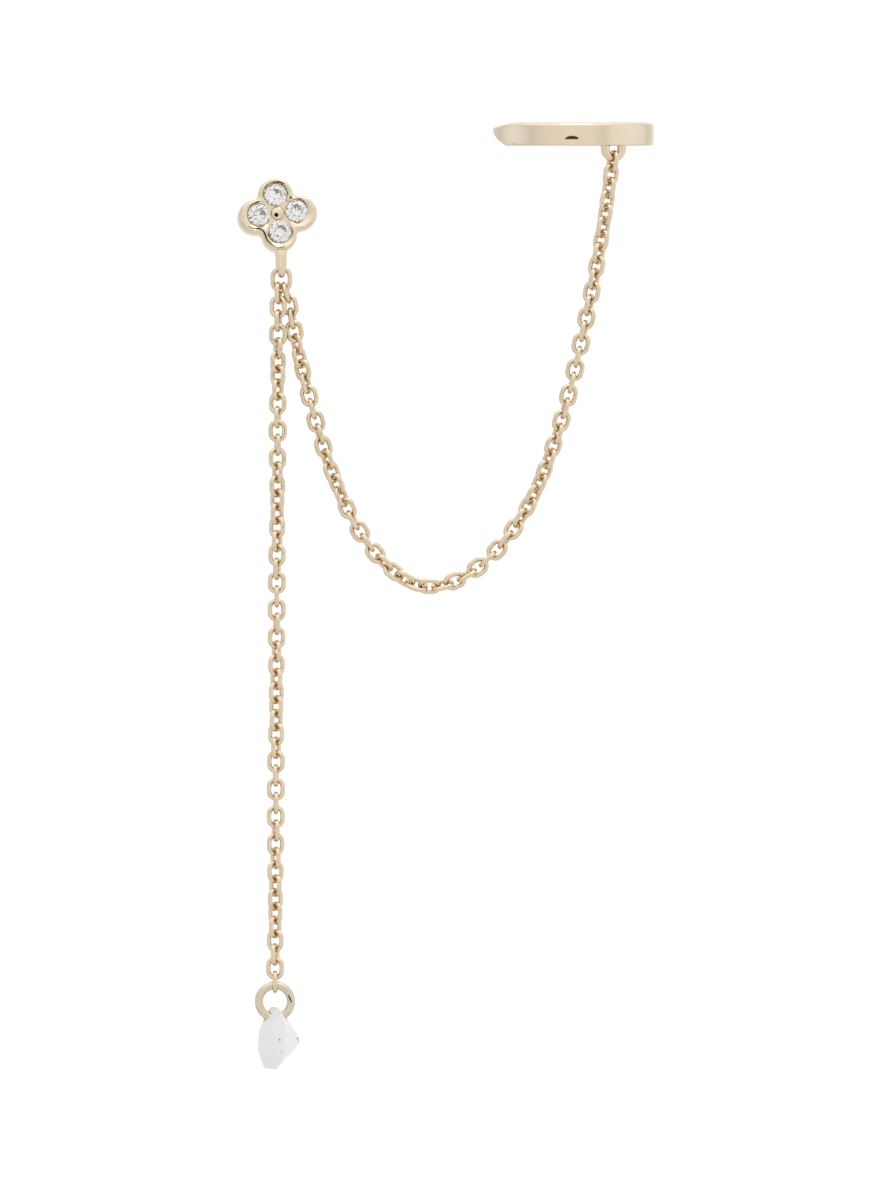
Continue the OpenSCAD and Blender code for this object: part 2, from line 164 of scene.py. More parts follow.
# Axes of the stud: across its face, up its face, and out of its face
post_mount = next(m for m in frame["record"]["mounts"] if m["name"] == "ear_post")
FACE_OUT = -unit(np.array(post_mount["axis"], float))
FACE_ACROSS = unit(np.cross((0, 0, 1), FACE_OUT))
FACE_UP = np.cross(FACE_OUT, FACE_ACROSS)
STUD_AXES = np.array([FACE_ACROSS, FACE_UP, FACE_OUT])


def at_stud(points):
    """From the stud's face-up layout to the frame."""
    return np.asarray(points, float) @ STUD_AXES


def rolled(points, degrees):
    """Points turned about the layout's third axis, anticlockwise."""
    a = math.radians(degrees)
    turn = np.array([[math.cos(a), math.sin(a), 0], [-math.sin(a), math.cos(a), 0], [0, 0, 1]])
    return np.asarray(points, float) @ turn


def turned(points, degrees, first, second):
    """Points turned from one axis towards another."""
    a = math.radians(degrees)
    points = np.array(points, float)
    u, v = points[:, first].copy(), points[:, second].copy()
    points[:, first] = u * math.cos(a) - v * math.sin(a)
    points[:, second] = u * math.sin(a) + v * math.cos(a)
    return points


def tube_faces(rows, columns, closed=False):
    """Quads over rows of points, each row a closed ring."""
    last = rows if closed else rows - 1
    return [
        (
            i * columns + j,
            i * columns + (j + 1) % columns,
            (i + 1) % rows * columns + (j + 1) % columns,
            (i + 1) % rows * columns + j,
        )
        for i in range(last)
        for j in range(columns)
    ]


def skin(rings, start=None, end=None):
    """Points and faces of a closed skin over rings, with a middle point at each open end."""
    n = len(rings[0])
    points = [p for ring in rings for p in ring]
    faces = tube_faces(len(rings), n)
    if start is not None:
        points.append(start)
        faces += [(len(points) - 1, (j + 1) % n, j) for j in range(n)]
    if end is not None:
        points.append(end)
        base = (len(rings) - 1) * n
        faces += [(len(points) - 1, base + j, base + (j + 1) % n) for j in range(n)]
    return np.array(points, float), faces


def lathe(profile, steps=48):
    """Skin of a profile of (radius, height) turned about the third axis, closed at both ends."""
    turns = np.linspace(0, 2 * math.pi, steps, endpoint=False)
    rings = [[(r * math.cos(a), r * math.sin(a), z) for a in turns] for r, z in profile]
    return skin(rings, (0, 0, profile[0][1]), (0, 0, profile[-1][1]))


def sweep(path, normals, section, closed=True):
    """Skin of a flat section carried along a path that lies square to one direction.

    normals holds, for each point of the path, the way out; section holds (out, side) pairs.
    """
    path = np.asarray(path, float)
    normals = np.asarray(normals, float)
    ahead = np.roll(path, -1, axis=0) - np.roll(path, 1, axis=0)
    if not closed:
        ahead[0] = path[1] - path[0]
        ahead[-1] = path[-1] - path[-2]
    rings = []
    for p, out, way in zip(path, normals, ahead):
        side = unit(np.cross(unit(way), out))
        rings.append([p + u * out + v * side for u, v in section])
    if closed:
        points = np.array([p for ring in rings for p in ring])
        return points, tube_faces(len(rings), len(section), closed=True)
    return skin(rings, np.mean(rings[0], axis=0), np.mean(rings[-1], axis=0))


def circle(radius, sides):
    """(out, side) pairs of a round wire."""
    turns = np.linspace(0, 2 * math.pi, sides, endpoint=False)
    return [(radius * math.cos(a), radius * math.sin(a)) for a in turns]


def moved(part, place):
    """A part of (points, faces) with its points put through a function."""
    return (place(part[0]), *part[1:])


def solid_mesh(name, points, faces):
    """A mesh from points in millimetres and faces, with all its faces turned outwards."""
    mesh = bpy.data.meshes.new(name)
    mesh.from_pydata([tuple(p * MM) for p in points], [], faces)
    shape = bmesh.new()
    shape.from_mesh(mesh)
    bmesh.ops.recalc_face_normals(shape, faces=shape.faces)
    shape.to_mesh(mesh)
    shape.free()
    return mesh


def make_piece(name, parts, material, body, replaced=(), sharp_over=40):
    """One mesh object from parts of (points, faces[, faces painted dark as shade]), riding on a body."""
    points = []
    faces = []
    shaded = []
    for part in parts:
        base = len(points)
        points += list(np.asarray(part[0], float))
        if len(part) > 2:
            shaded += [len(faces) + k for k in part[2]]
        faces += [tuple(base + k for k in face) for face in part[1]]
    mesh = solid_mesh(name, points, faces)
    mesh.shade_smooth()
    mesh.set_sharp_from_angle(angle=math.radians(sharp_over))
    mesh.materials.append(material)
    # Faces in shade take the near-black gold, as painted shade
    if shaded:
        mesh.materials.append(GOLD_SHADE)
        for k in shaded:
            mesh.polygons[k].material_index = 1
    piece = bpy.data.objects.new(name, mesh)
    bpy.context.scene.collection.objects.link(piece)
    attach(piece, body)
    if replaced:
        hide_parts(*replaced)
    return piece


# Materials


def noise(nodes, links, coordinates, scale, detail):
    """A noise texture on the given coordinates."""
    texture = nodes.new("ShaderNodeTexNoise")
    texture.inputs["Scale"].default_value = scale
    texture.inputs["Detail"].default_value = detail
    links.new(coordinates, texture.inputs["Vector"])
    return texture.outputs["Fac"]


def ramp(nodes, links, source, stops):
    """A colour ramp over a value; stops are (position, colour)."""
    node = nodes.new("ShaderNodeValToRGB")
    while len(node.color_ramp.elements) < len(stops):
        node.color_ramp.elements.new(0.5)
    for element, (position, colour) in zip(node.color_ramp.elements, stops):
        element.position = position
        element.color = (*colour, 1)
    links.new(source, node.inputs["Fac"])
    return node.outputs["Color"]


def product(nodes, links, first, second):
    """The product of two colours."""
    node = nodes.new("ShaderNodeMix")
    node.data_type = "RGBA"
    node.blend_type = "MULTIPLY"
    node.inputs["Factor"].default_value = 1
    links.new(first, node.inputs["A"])
    links.new(second, node.inputs["B"])
    return node.outputs["Result"]


def greys(rows):
    """Stops of a colour ramp from rows of position and brightness."""
    return [(position, (value, value, value)) for position, value in rows]


def signed(nodes, links, source):
    """A value of -1 to 1 brought to 0 to 1."""
    node = nodes.new("ShaderNodeMapRange")
    node.inputs["From Min"].default_value = -1
    links.new(source, node.inputs["Value"])
    return node.outputs["Result"]


def new_material(name):
    """A new material with its nodes, its links, its shader and its own coordinates."""
    material = bpy.data.materials.new(name)
    material.use_nodes = True
    nodes = material.node_tree.nodes
    place = nodes.new("ShaderNodeTexCoord").outputs["Object"]
    return material, nodes, material.node_tree.links, nodes["Principled BSDF"], place


def ranged(nodes, links, source, low, high):
    """A value of 0 to 1 brought to another range."""
    node = nodes.new("ShaderNodeMapRange")
    node.inputs["To Min"].default_value = low
    node.inputs["To Max"].default_value = high
    links.new(source, node.inputs["Value"])
    return node.outputs["Result"]


# The gold's lighter and deeper colour on cast metal, and darker copies of it on fine wire and on the drop
# ring, which paint in the shade that those parts show
GOLD_LIGHT = (0.742, 0.622, 0.466)
GOLD_DEEP = (0.718, 0.598, 0.442)
SHADED_WIRE_LIGHT = (0.72, 0.60, 0.44)
SHADED_WIRE_DEEP = (0.69, 0.565, 0.405)
SHADED_RING_LIGHT = (0.665, 0.575, 0.44)
SHADED_RING_DEEP = (0.635, 0.54, 0.405)
# Painted shade: its colour in hollows and in those of cast metal, where shade falls, then its near-black
# colour in the dark lines painted as shade, and how far a hollow reaches
HOLLOW_SHADE_GOLD = (0.58, 0.36, 0.14)
HOLLOW_SHADE_CAST = (0.66, 0.50, 0.29)
SHADE_GOLD = (0.02, 0.012, 0.006)
HOLLOW_SHADE_REACH = 0.55
# Scale of its clouds, polishing marks and ripple, and the ripple's height
CLOUD_SCALE = 700
POLISH_SCALE = 9000
RIPPLE_SCALE = 2600
RIPPLE_HEIGHT = 0.004


def gold_material(name, light, deep, roughness, wear, hollow_shade):
    """Polished pale gold: a slightly uneven colour, painted shade in its hollows, fine polishing marks and
    a soft ripple.
    """
    material, nodes, links, shader, place = new_material(name)
    shader.inputs["Metallic"].default_value = 1
    cloud = noise(nodes, links, place, CLOUD_SCALE, 3)
    surface = ramp(nodes, links, cloud, [(0.3, deep), (0.7, light)])
    # Painted shade: where the occlusion finds a hollow, the colour turns to the darker hollow colour
    hollow = nodes.new("ShaderNodeAmbientOcclusion")
    hollow.samples = 8
    hollow.inputs["Distance"].default_value = HOLLOW_SHADE_REACH * MM
    openness = ramp(nodes, links, hollow.outputs["AO"], greys([(0.2, 1), (0.68, 0)]))
    hollow_shade_blend = nodes.new("ShaderNodeMix")
    hollow_shade_blend.data_type = "RGBA"
    hollow_shade_blend.inputs["B"].default_value = (*hollow_shade, 1)
    links.new(openness, hollow_shade_blend.inputs["Factor"])
    links.new(surface, hollow_shade_blend.inputs["A"])
    links.new(hollow_shade_blend.outputs["Result"], shader.inputs["Base Color"])
    grain = noise(nodes, links, place, POLISH_SCALE, 4)
    links.new(ranged(nodes, links, grain, roughness * 0.8, roughness * 1.25), shader.inputs["Roughness"])
    ripple = noise(nodes, links, place, RIPPLE_SCALE, 2)
    bump = nodes.new("ShaderNodeBump")
    bump.inputs["Strength"].default_value = wear
    bump.inputs["Distance"].default_value = RIPPLE_HEIGHT * MM
    links.new(ripple, bump.inputs["Height"])
    links.new(bump.outputs["Normal"], shader.inputs["Normal"])
    return material


def stone_material(name, colour, ior, roughness, clear):
    """Clear cut stone: refracts, with a faint cloud inside and crisp facets."""
    material, nodes, links, shader, place = new_material(name)
    shader.inputs["Transmission Weight"].default_value = clear
    shader.inputs["IOR"].default_value = ior
    shader.inputs["Roughness"].default_value = roughness
    cloud = noise(nodes, links, place, 500, 2)
    deep = tuple(c * 0.965 for c in colour)
    links.new(ramp(nodes, links, cloud, [(0.35, deep), (0.65, colour)]), shader.inputs["Base Color"])
    return material


# Tiny dark glints painted on the drop stone as reflections: place across and up, in millimetres, size and
# darkness
PAINTED_DARK_GLINTS = [
    ((0.26, -60.87), 0.10, 0.25), ((0.28, -61.06), 0.06, 0.6), ((1.57, -60.84), 0.10, 0.25),
    ((1.61, -61.04), 0.07, 0.35), ((0.44, -61.76), 0.07, 0.5),
]


def pear_material(name, colour, ior, roughness, clear, glow):
    """Milky clear stone with painted light: a faint painted glow, painted paler light on the facets that
    face right, and a few tiny painted dark glints.
    """
    material = stone_material(name, colour, ior, roughness, clear)
    nodes = material.node_tree.nodes
    links = material.node_tree.links
    shader = nodes["Principled BSDF"]
    # Painted light: the stone glows a little with its own colour, though no lamp is in it
    shader.inputs["Emission Strength"].default_value = glow
    # Painted light: facets that face left are darker, those that face right paler
    split = nodes.new("ShaderNodeSeparateXYZ")
    links.new(nodes.new("ShaderNodeNewGeometry").outputs["True Normal"], split.inputs["Vector"])
    sideways = signed(nodes, links, split.outputs["X"])
    painted_light_factors = [ramp(nodes, links, sideways, greys([(0.5, 0.94), (0.7, 1)]))]
    place = nodes.new("ShaderNodeTexCoord").outputs["Object"]
    flat = nodes.new("ShaderNodeVectorMath")
    flat.operation = "MULTIPLY"
    flat.inputs[1].default_value = (1, 0, 1)
    links.new(place, flat.inputs[0])
    # Painted reflections: dark glints at fixed places on the stone
    for (across, up), size, left in PAINTED_DARK_GLINTS:
        away = nodes.new("ShaderNodeVectorMath")
        away.operation = "DISTANCE"
        away.inputs[1].default_value = (across * MM, 0, up * MM)
        links.new(flat.outputs["Vector"], away.inputs[0])
        dark_glint = nodes.new("ShaderNodeMapRange")
        dark_glint.inputs["From Min"].default_value = size * MM * 0.4
        dark_glint.inputs["From Max"].default_value = size * MM
        dark_glint.inputs["To Min"].default_value = left
        links.new(away.outputs["Value"], dark_glint.inputs["Value"])
        painted_light_factors.append(dark_glint.outputs["Result"])
    colour_now = shader.inputs["Base Color"].links[0].from_socket
    for factor in painted_light_factors:
        colour_now = product(nodes, links, colour_now, factor)
    links.new(colour_now, shader.inputs["Base Color"])
    # The painted glow takes the stone's painted colour
    links.new(colour_now, shader.inputs["Emission Color"])
    return material


def plain_material(name, colour, roughness, glow):
    """A matt surface with a faint variation, lit a little from within where it glows."""
    material, nodes, links, shader, place = new_material(name)
    shader.inputs["Roughness"].default_value = roughness
    shader.inputs["Specular IOR Level"].default_value = 0
    shader.inputs["Emission Color"].default_value = (1, 1, 1, 1)
    shader.inputs["Emission Strength"].default_value = glow
    cloud = noise(nodes, links, place, 3, 2)
    deep = tuple(c * 0.99 for c in colour)
    links.new(ramp(nodes, links, cloud, [(0.3, deep), (0.7, colour)]), shader.inputs["Base Color"])
    return material


# Each gold: lighter colour, deeper colour, roughness, strength of its ripple, colour of the painted shade
# in its hollows
# gold_shade: a near-black gold, painted as shade on the dark lines, the bead's dimple, the grain's pit and
# the ring's seam
GOLD_SHADE = gold_material("gold_shade", (0.07, 0.04, 0.02), (0.04, 0.02, 0.01), 0.5, 0.2, SHADE_GOLD)
GOLD_CAST = gold_material("gold_cast", GOLD_LIGHT, GOLD_DEEP, 0.10, 0.25, HOLLOW_SHADE_CAST)
# The wire's and the drop ring's gold: the same gold made darker, as painted shade
GOLD_WIRE_SHADED = gold_material("gold_wire_shaded", SHADED_WIRE_LIGHT, SHADED_WIRE_DEEP, 0.09, 0.20, HOLLOW_SHADE_GOLD)
GOLD_RING_SHADED = gold_material("gold_ring_shaded", SHADED_RING_LIGHT, SHADED_RING_DEEP, 0.12, 0.2, HOLLOW_SHADE_GOLD)
GOLD_BAND = gold_material("gold_band", GOLD_LIGHT, GOLD_DEEP, 0.04, 0.08, HOLLOW_SHADE_GOLD)
STONE_WHITE = stone_material("stone_white", (0.84, 0.85, 0.825), 2.3, 0.0, 1.0)
# The drop stone's last value is the strength of its painted glow
STONE_PEAR = pear_material("stone_pear", (0.765, 0.77, 0.758), 1.5, 0.14, 0.2, 0.085)


# Stud setting

stone_r = STONE_D / 2
stone_at = BEAD_D / 2 + STONE_GAP + stone_r
lobe_tip = stone_at + stone_r + RIM_W
lobe_r = stone_r + RIM_SIDE_W
lobe_at = lobe_tip - lobe_r
floor_h = SETTING_T - WELL_DEPTH
girdle_h = SETTING_T - GIRDLE_DROP
grain_reach = stone_r + GRAIN_D / 2 + STONE_GAP
grain_at = (stone_at + math.sqrt(2 * grain_reach**2 - stone_at**2)) / math.sqrt(2) + GRAIN_SHIFT


def lobed_radius(angles, at, r, fillet):
    """Radius of a four-lobed outline: lobes on the axes, filleted notches between."""
    from_lobe = np.abs((np.degrees(angles) + 45) % 90 - 45)
    from_notch = np.radians(45 - from_lobe)
    from_lobe = np.radians(from_lobe)
    side = (at + np.sqrt(2 * (r + fillet) ** 2 - at * at)) / 2
    touch = np.arctan2(r * side / (r + fillet), at + r * (side - at) / (r + fillet))
    notch_at = side * math.sqrt(2)
    lobe = at * np.cos(from_lobe) + np.sqrt(np.maximum(0, r * r - (at * np.sin(from_lobe)) ** 2))
    notch = notch_at * np.cos(from_notch)
    notch -= np.sqrt(np.maximum(0, fillet**2 - (notch_at * np.sin(from_notch)) ** 2))
    return np.where(from_lobe <= touch, lobe, notch)


# Rim: where its crest lies on the way in to the stones, how high its straight side goes, and the
# small gaps and heights where it meets the stones
RIM_STEPS = 360
RIM_FOOT_ROWS = [(0.12, 0), (0.05, 0.03), (0.015, 0.08)]
RIM_FOOT_H = 0.16
CREST_SHARE = 0.46
SHOULDER_SHARE = 0.40
SEAT_PLAY = 0.02
LIP_OVER = 0.03
LIP_RISE = 0.07
LIP_EDGE = 0.02
FLOOR_EDGE = 0.03
# Fine dark lines painted as shade where the rim's slope folds, and a dark dot painted as shade by the upper
# right notch: half width, then places along the line in the layout
RIM_SHADE_LINES = [
    (0.035, [(0.12, 2.45), (0.29, 2.42), (0.46, 2.35), (0.7, 2.18)]),
    (0.022, [(1.49, 1.01), (1.81, 0.87), (2.08, 0.64), (2.22, 0.33)]),
    (0.045, [(-1.67, 0.99), (-1.46, 1.05), (-1.25, 1.07)]),
    (0.06, [
        (-2.3, -0.7), (-1.99, -0.87), (-1.51, -0.95), (-1.3, -1.08), (-1.16, -1.37),
        (-1.1, -1.69), (-0.95, -1.97), (-0.71, -2.23), (-0.4, -2.43),
    ]),
    (0.028, [(-0.4, -2.43), (-0.15, -2.52), (0.12, -2.48), (0.27, -2.38)]),
    (0.09, [(0.97, 1.2), (1.11, 1.1)]),
]
# How far the well with its stones sits off the middle of the outline
WELL_SHIFT = np.array([-0.01, 0.11, 0])
WELL_FLOOR_ROWS = 44


def slope_height(share):
    """Height of the rim's inner slope at a share of the way in to the stones."""
    inward = np.clip((share - CREST_SHARE) / (1 - CREST_SHARE), 0, 1)
    return SETTING_T - (SETTING_T - girdle_h - LIP_RISE) * inward**1.25


def seat_depth(x, y):
    """How far a stone's conical seat goes below the floor at a place on it."""
    slope = 1 / PAVILION_SHARE
    seat_r = slope * (floor_h - girdle_h + stone_r * PAVILION_SHARE) + STONE_GAP
    deepest = 0
    for quarter in range(4):
        a = math.radians(90 * quarter)
        away = math.hypot(x - stone_at * math.cos(a), y - stone_at * math.sin(a))
        deepest = max(deepest, (seat_r - away) / slope)
    return deepest


def rim_edges(angles):
    """Radii of the rim's outline and of its inner lip at some angles."""
    outer = lobed_radius(angles, lobe_at, lobe_r, NOTCH_R)
    outer = outer * np.hypot(np.cos(angles), RIM_SQUASH * np.sin(angles))
    inner = lobed_radius(angles - math.radians(WELL_TURN), stone_at, stone_r - LIP_OVER, WELL_NOTCH_R)
    return outer, inner


def rim_part():
    """The rim with its well and the four seats in its floor."""
    angles = np.linspace(0, 2 * math.pi, RIM_STEPS, endpoint=False)
    in_well_angles = angles - math.radians(WELL_TURN)
    outer, inner = rim_edges(angles)
    wall = lobed_radius(in_well_angles, stone_at, stone_r + SEAT_PLAY, WELL_NOTCH_R)
    rings = []

    def add(radius, height):
        height = np.broadcast_to(height, radius.shape)
        share = (outer - radius) / (outer - inner)
        inward = np.clip((share - CREST_SHARE) / (1 - CREST_SHARE), 0, 1)
        flat = np.stack([radius * np.cos(angles), radius * np.sin(angles), height], axis=1)
        rings.append(flat + inward[:, None] * WELL_SHIFT)

    def at_share(share):
        return outer + share * (inner - outer)

    for share, height in RIM_FOOT_ROWS:
        add(at_share(share), height)
    shoulder = SHOULDER_SHARE * SETTING_T
    for height in np.linspace(RIM_FOOT_H, shoulder, 6):
        add(at_share(0), height)
    for k in range(1, 19):
        a = math.radians(5 * k)
        add(at_share(CREST_SHARE * (1 - math.cos(a))), shoulder + (SETTING_T - shoulder) * math.sin(a))
    for share in np.linspace(CREST_SHARE, 1, 25)[1:]:
        add(at_share(share), slope_height(share))
    add(wall, girdle_h + LIP_RISE - LIP_EDGE)
    add(wall, floor_h + FLOOR_EDGE)
    for k in range(1, WELL_FLOOR_ROWS):
        radius = wall * (1 - k / WELL_FLOOR_ROWS)
        heights = np.array([
            floor_h - seat_depth(r * math.cos(a), r * math.sin(a)) for r, a in zip(radius, in_well_angles)
        ])
        add(radius, heights)
    return skin(rings, (0, 0, 0), WELL_SHIFT + np.array([0, 0, floor_h]))


def rim_height(x, y):
    """Height of the rim's inner slope over a place in the layout."""
    at = np.array([x, y], float)
    for _ in range(8):
        outer, inner = rim_edges(np.array([math.atan2(at[1], at[0])]))
        share = (outer[0] - math.hypot(at[0], at[1])) / (outer[0] - inner[0])
        inward = min(max((share - CREST_SHARE) / (1 - CREST_SHARE), 0), 1)
        at = np.array([x, y]) - inward * WELL_SHIFT[:2]
    return slope_height(share)


# Dark lines painted as shade: how far they stand off the metal, the length of their steps, and how they
# taper
LINE_LIFT = 0.02
LINE_STEP = 0.04
LINE_TAPER = 0.6


def shade_line_part(half_width, places, height):
    """A fine dark line painted as shade through some places of a face, whose height is a function of the
    place.
    """
    places = np.array(places, float)
    along = np.concatenate([[0], np.cumsum(np.hypot(*np.diff(places, axis=0).T))])
    steps = max(12, int(along[-1] / LINE_STEP))
    at = np.linspace(0, along[-1], steps + 1)
    path = np.column_stack([np.interp(at, along, places[:, 0]), np.interp(at, along, places[:, 1])])
    for _ in range(4):
        path[1:-1] = (path[:-2] + 2 * path[1:-1] + path[2:]) / 4
    ahead = np.gradient(path, axis=0)
    ahead /= np.hypot(*ahead.T)[:, None]
    across = np.column_stack([-ahead[:, 1], ahead[:, 0]])
    points = []
    for k in range(steps + 1):
        half = half_width * math.sin(math.pi * (0.06 + 0.88 * k / steps)) ** LINE_TAPER
        for side in (-1, 0, 1):
            x, y = path[k] + across[k] * side * half
            points.append((x, y, height(x, y) + LINE_LIFT))
    faces = [
        (3 * k + j, 3 * k + j + 1, 3 * k + j + 4, 3 * k + j + 3)
        for k in range(steps) for j in (0, 1)
    ]
    return np.array(points), faces, list(range(len(faces)))


# Centre bead: a low button with a small dimple off its middle, the dimple painted dark as shade
BEAD_DOME_R = 1.0
BEAD_EDGE_R = 0.05
DIMPLE_AT = (-0.13, -0.13)
DIMPLE_R = 0.13
DIMPLE_DEPTH = 0.2
DIMPLE_SOFTNESS = 0.007
# Rings of the bead's top: shares of the way from the dimple's middle out to the edge
BEAD_TOP_SHARES = (
    0.93, 0.88, 0.8, 0.7, 0.6, 0.5, 0.42, 0.36, 0.32,
    0.29, 0.27, 0.255, 0.24, 0.225, 0.21, 0.19, 0.15, 0.08,
)


def bead_part():
    """The centre bead, on rings that close in on its dimple."""
    radius = BEAD_D / 2
    top = SETTING_T - BEAD_DROP
    turns = np.linspace(0, 2 * math.pi, 72, endpoint=False)
    edge = np.stack([radius * np.cos(turns), radius * np.sin(turns)], axis=1)
    hub = np.array(DIMPLE_AT)
    shoulder = top - (BEAD_DOME_R - math.sqrt(BEAD_DOME_R**2 - radius**2))
    rings = [np.column_stack([edge, np.full(len(edge), floor_h)])]
    for a in np.radians(np.linspace(0, 60, 6)):
        xy = edge * (1 - BEAD_EDGE_R * (1 - math.cos(a)) / radius)
        height = shoulder - BEAD_EDGE_R + BEAD_EDGE_R * math.sin(a)
        rings.append(np.column_stack([xy, np.full(len(edge), height)]))
    for share in BEAD_TOP_SHARES:
        xy = hub + (edge * 0.97 - hub) * share
        away = np.hypot(*(xy - hub).T)
        height = top - (BEAD_DOME_R - np.sqrt(BEAD_DOME_R**2 - (xy**2).sum(axis=1)))
        height -= DIMPLE_DEPTH / (1 + np.exp((away - DIMPLE_R) / DIMPLE_SOFTNESS))
        rings.append(np.column_stack([xy, height]))
    last = top - DIMPLE_DEPTH - 0.01
    points, faces = skin(rings, (0, 0, floor_h), (hub[0], hub[1], last))
    # Painted shade: the dimple's walls and floor take the near-black gold
    middles = np.array([points[list(face)].mean(axis=0) for face in faces])
    near = np.hypot(middles[:, 0] - hub[0], middles[:, 1] - hub[1]) < DIMPLE_R + 0.005
    shaded = np.nonzero(near & (middles[:, 2] > floor_h - 0.1) & (middles[:, 2] < top - 0.03))[0]
    return points, faces, list(shaded)


# Grains: their sides, and the pit of one grain as shares of its radius and depths
GRAIN_SIDES = 24
PIT_ROWS = [(0.36, 0.03), (0.30, 0.09), (0.1, 0.13)]


def grain_profile(pitted):
    """(radius, height) of a grain from its foot up over its head, some with a pit in the middle."""
    radius = GRAIN_D / 2
    top = SETTING_T - GRAIN_DROP
    rows = [(radius * 1.1, floor_h), (radius, floor_h + 0.05)]
    for a in np.radians(np.linspace(0, 62, 10)):
        rows.append((radius * math.cos(a), top - radius + radius * math.sin(a)))
    if pitted:
        rows += [(radius * share, top - depth) for share, depth in PIT_ROWS]
    else:
        rows.append((radius * 0.2, top - 0.002))
    return rows


def grain_parts():
    """The four grains between the stones; the upper right one is pitted, its pit painted dark as shade."""
    for quarter in range(4):
        a = math.radians(45 + 90 * quarter)
        offset = np.array([grain_at * math.cos(a), grain_at * math.sin(a), 0])
        pitted = quarter == 0
        profile = grain_profile(pitted)
        points, faces = lathe(profile, GRAIN_SIDES)
        # Painted shade: the pit's walls and floor take the near-black gold
        pit = []
        if pitted:
            walls_end = (len(profile) - 1) * GRAIN_SIDES
            pit += range(walls_end - len(PIT_ROWS) * GRAIN_SIDES, walls_end)
            pit += range(len(faces) - GRAIN_SIDES, len(faces))
        yield moved((points, faces, pit), lambda p, offset=offset: p + offset)


# How full the strap's section is through its thickness and across its width, 1 being an ellipse
STRAP_DEEP_POWER = 0.95
STRAP_WIDE_POWER = 0.92


def strap_section(width, thickness, steps=36):
    """(out, side) pairs of a strap with a soft, full section; side runs across its width."""
    pairs = []
    for k in range(steps):
        a = 2 * math.pi * k / steps
        c, d = math.cos(a), math.sin(a)
        out = thickness / 2 * math.copysign(abs(d) ** STRAP_DEEP_POWER, d)
        pairs.append((out, width / 2 * math.copysign(abs(c) ** STRAP_WIDE_POWER, c)))
    return pairs


# Steps along each leg of the bail and round its bend
LEG_STEPS = 8
BEND_STEPS = 32


def bail_part():
    """Strap bail: down from the lowest lobe, round under the jump ring, and up behind."""
    lobe_foot = lobe_tip * RIM_SQUASH
    roll = math.radians(STUD_ROLL)
    top = np.array([lobe_foot * math.sin(roll), -lobe_foot * math.cos(roll), BAIL_H])
    bend_r = (BAIL_DEPTH - BAIL_T) / 2
    bend = top - np.array([0, BAIL_DROP - BAIL_DEPTH / 2, 0])
    leg = BAIL_DROP - BAIL_DEPTH / 2 + BAIL_LEG_SHARE * RIM_W
    path = [bend + np.array([0, leg * (1 - k / LEG_STEPS), bend_r]) for k in range(LEG_STEPS)]
    normals = [(0, 0, 1)] * LEG_STEPS
    for k in range(BEND_STEPS + 1):
        a = math.radians(180 * k / BEND_STEPS)
        out = np.array([0, -math.sin(a), math.cos(a)])
        path.append(bend + bend_r * out)
        normals.append(out)
    path += [bend + np.array([0, leg * k / LEG_STEPS, -bend_r]) for k in range(1, LEG_STEPS + 1)]
    normals += [(0, 0, -1)] * LEG_STEPS
    points, faces = sweep(path, normals, strap_section(BAIL_W, BAIL_T), closed=False)
    # The strap narrows towards its bend
    down = np.clip((bend[1] + BAIL_TAPER_FROM - points[:, 1]) / (BAIL_TAPER_FROM + bend_r), 0, 1)
    points[:, 0] = bend[0] + (points[:, 0] - bend[0]) * (1 - BAIL_TAPER * down)
    # Under the rim it widens a little and its front leg dips below the edge
    up = np.clip((points[:, 1] - top[1] + BAIL_DIP_LEN) / BAIL_DIP_LEN, 0, BAIL_FLARE_END)
    points[:, 0] = bend[0] + (points[:, 0] - bend[0]) * (1 + BAIL_FLARE * up**2)
    points[:, 2] -= np.where(points[:, 2] > BAIL_H, BAIL_DIP * up**2, 0)
    return points, faces


def post_part():
    """Ear post with a small fillet of solder at its foot and a round tip."""
    r = POST_D / 2
    rows = [(r + POST_FILLET, 0.05), (r + POST_FILLET, 0)]
    for a in np.radians(np.linspace(10, 90, 9)):
        rows.append((r + POST_FILLET * (1 - math.sin(a)), -POST_FILLET * (1 - math.cos(a))))
    rows += [(r, -POST_LEN * k / 8) for k in range(1, 9)]
    rows += [(r * math.cos(a), -POST_LEN - r * math.sin(a)) for a in np.radians(np.linspace(10, 85, 9))]
    return lathe(rows, 40)


def on_setting(points):
    """From the unrolled layout of the four lobes to the frame."""
    return at_stud(rolled(points, STUD_ROLL))


def in_well(points):
    """From the unrolled layout of the well and its stones to the frame."""
    return on_setting(rolled(points, WELL_TURN) + WELL_SHIFT)


make_piece(
    "stud_rim",
    [moved(rim_part(), on_setting)]
    + [moved(shade_line_part(half, places, rim_height), on_setting) for half, places in RIM_SHADE_LINES],
    GOLD_CAST, "earring", ["stud_setting"], sharp_over=50,
)
make_piece("centre_bead", [moved(bead_part(), in_well)], GOLD_CAST, "earring")
make_piece("stone_grains", [moved(p, in_well) for p in grain_parts()], GOLD_CAST, "earring")
make_piece("bail_strap", [moved(bail_part(), at_stud)], GOLD_CAST, "earring")
make_piece("ear_post", [moved(post_part(), at_stud)], GOLD_CAST, "earring")


# Round stones

# Shares of the stone's radius: its table, the tips of its stars and lower halves, and half its girdle
TABLE_R = 0.56
STAR_R = 0.77
LOWER_R = 0.26
GIRDLE_SHARE = 0.05


